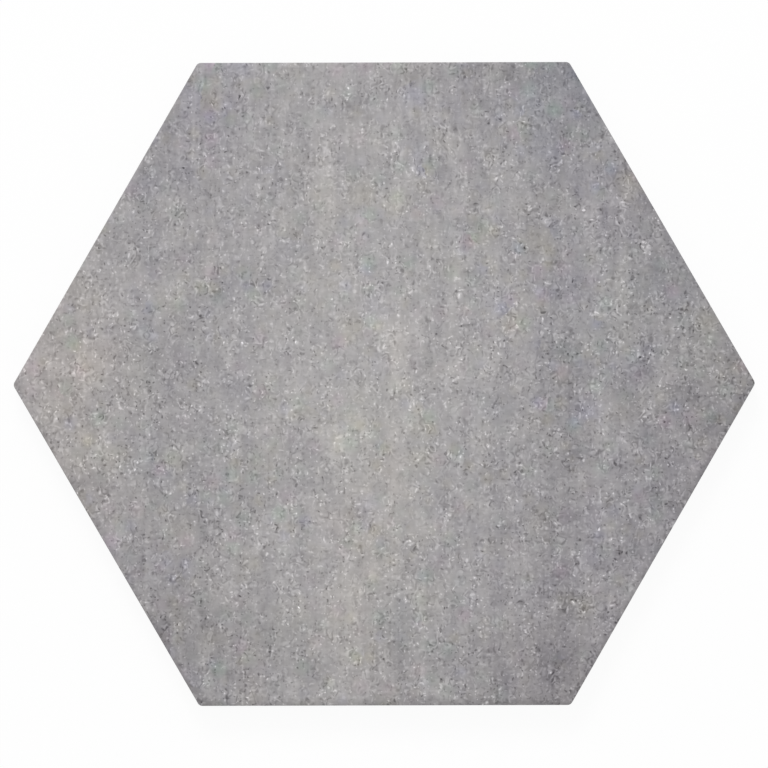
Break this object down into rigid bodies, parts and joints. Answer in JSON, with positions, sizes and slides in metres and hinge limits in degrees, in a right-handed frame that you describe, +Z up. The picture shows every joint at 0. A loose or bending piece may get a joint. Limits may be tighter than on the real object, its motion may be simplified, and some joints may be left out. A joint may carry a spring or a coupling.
{
  "type": "hexagon floor tile",
  "caption": "Regular hexagon floor tile of matt grey stone-effect porcelain, with a cushioned rim and a honeycomb keying relief on its back.",
  "frame": {"origin": "middle of the back, on the plane of the back ribs", "axes": "+Z up through the walking face, +X towards one corner, +Y square to one side"},
  "size_m": [0.2488, 0.216, 0.009],
  "materials": {
    "tile_body": "matte"
  },
  "bodies": {
    "root": {"hexagon_tile": "tile_body"}
  },
  "joints": []
}
